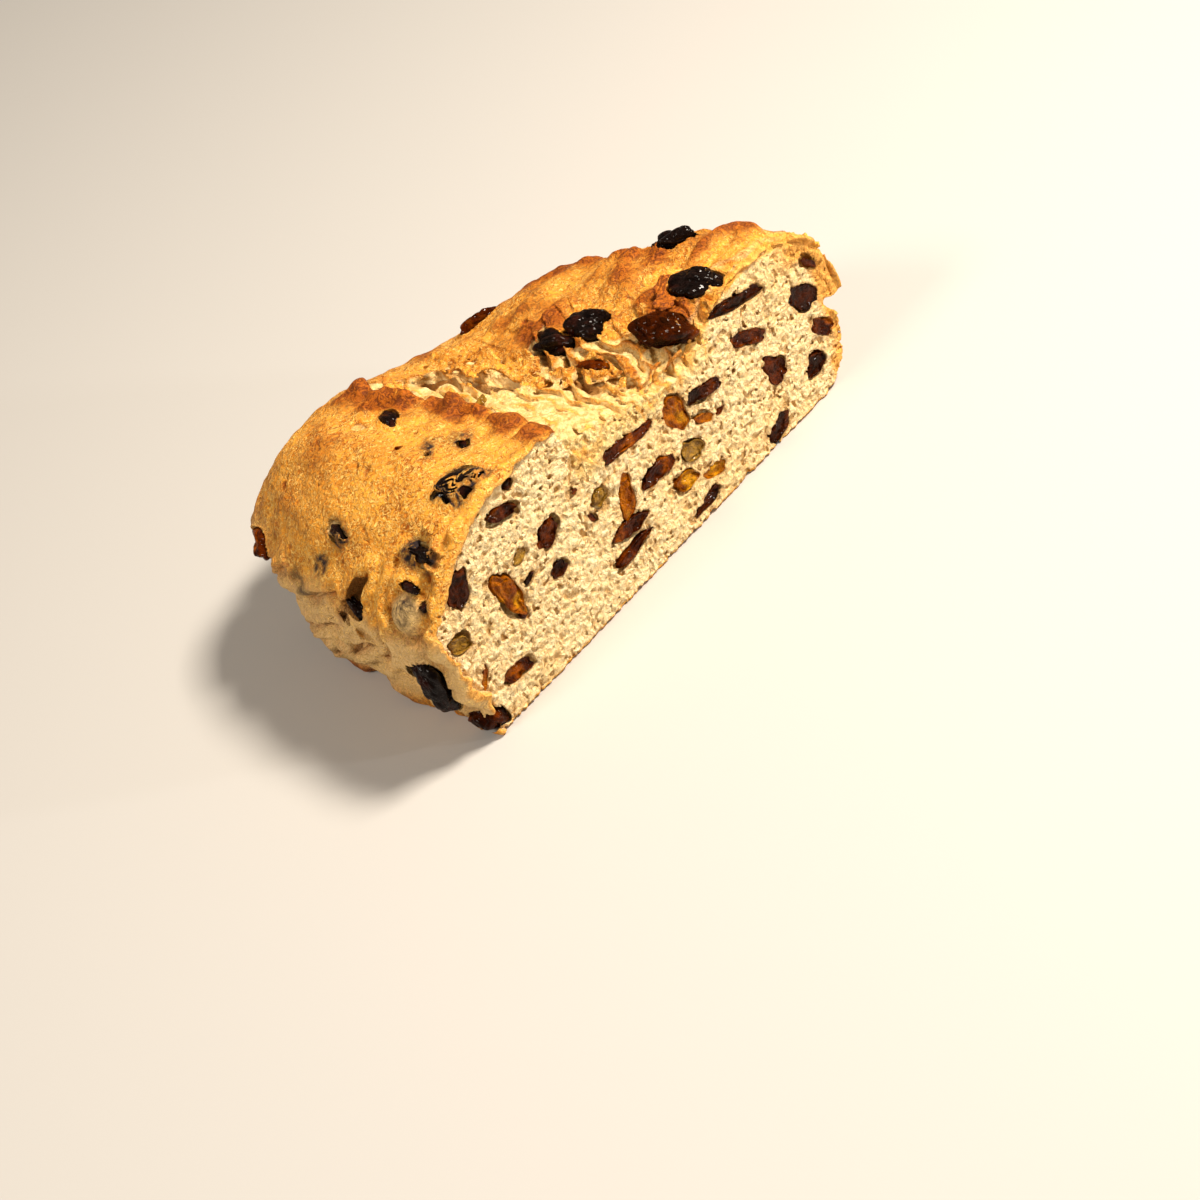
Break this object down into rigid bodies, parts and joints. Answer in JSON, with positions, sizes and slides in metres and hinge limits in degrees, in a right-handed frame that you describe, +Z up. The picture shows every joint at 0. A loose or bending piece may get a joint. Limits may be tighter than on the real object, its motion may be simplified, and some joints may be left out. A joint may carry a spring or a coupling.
{
  "type": "half stollen",
  "caption": "Half of a fruit stollen cut across, with a golden crust torn open along the top and dried fruit in the crust and in the flat cut face.",
  "frame": {"origin": "middle of the flat base", "axes": "+X along the width of the cut face, the cut face looks towards -Y, the rounded end lies towards +Y, +Z up"},
  "size_m": [0.1938, 0.1163, 0.0753],
  "materials": {
    "loaf": "matte baked crust, golden to brown, with a cream crumb where it is cut or torn",
    "raisin": "wrinkled, glossy, black to red-brown",
    "sultana": "glossy translucent amber",
    "peel": "candied, translucent olive yellow"
  },
  "bodies": {
    "root": {"loaf": "loaf", "raisin_top_mid": "raisin", "raisin_top_lip": "raisin", "sultana_top_cut": "raisin", "raisin_top_cut": "raisin", "raisin_top_right": "raisin", "raisin_top_back": "raisin", "raisin_top_left": "raisin", "raisin_top_blister": "raisin", "raisin_top_slit": "raisin", "raisin_top_crack": "raisin", "raisin_flank_cut": "raisin", "raisin_flank_cavity": "raisin", "raisin_flank_left": "raisin", "raisin_flank_low": "raisin", "raisin_foot_cut": "raisin", "raisin_back_1": "raisin", "raisin_back_2": "raisin", "raisin_back_3": "raisin", "raisin_back_4": "raisin", "raisin_back_5": "raisin", "raisin_back_6": "raisin", "raisin_back_7": "raisin", "raisin_back_8": "raisin", "raisin_back_9": "raisin", "raisin_cut_shoulder": "raisin", "sultana_cut_high": "raisin", "sultana_cut_tall": "sultana", "peel_cut_left": "peel", "sultana_cut_low": "raisin", "raisin_cut_cluster": "raisin", "raisin_cut_small": "raisin", "peel_cut_middle": "peel", "sultana_cut_upright": "sultana", "raisin_cut_crescent": "raisin", "raisin_cut_sliver": "raisin", "raisin_cut_long": "raisin", "raisin_cut_middle": "raisin", "peel_cut_dark": "peel", "sultana_cut_floor": "sultana", "sultana_cut_thin": "sultana", "sultana_cut_bright": "sultana", "raisin_cut_twin": "raisin", "raisin_cut_streak": "raisin", "raisin_cut_brown": "raisin", "raisin_cut_round": "raisin", "raisin_cut_edge": "raisin", "raisin_cut_right": "raisin", "raisin_cut_ruby": "raisin", "raisin_cut_corner": "raisin", "raisin_cut_base": "raisin"}
  },
  "joints": []
}
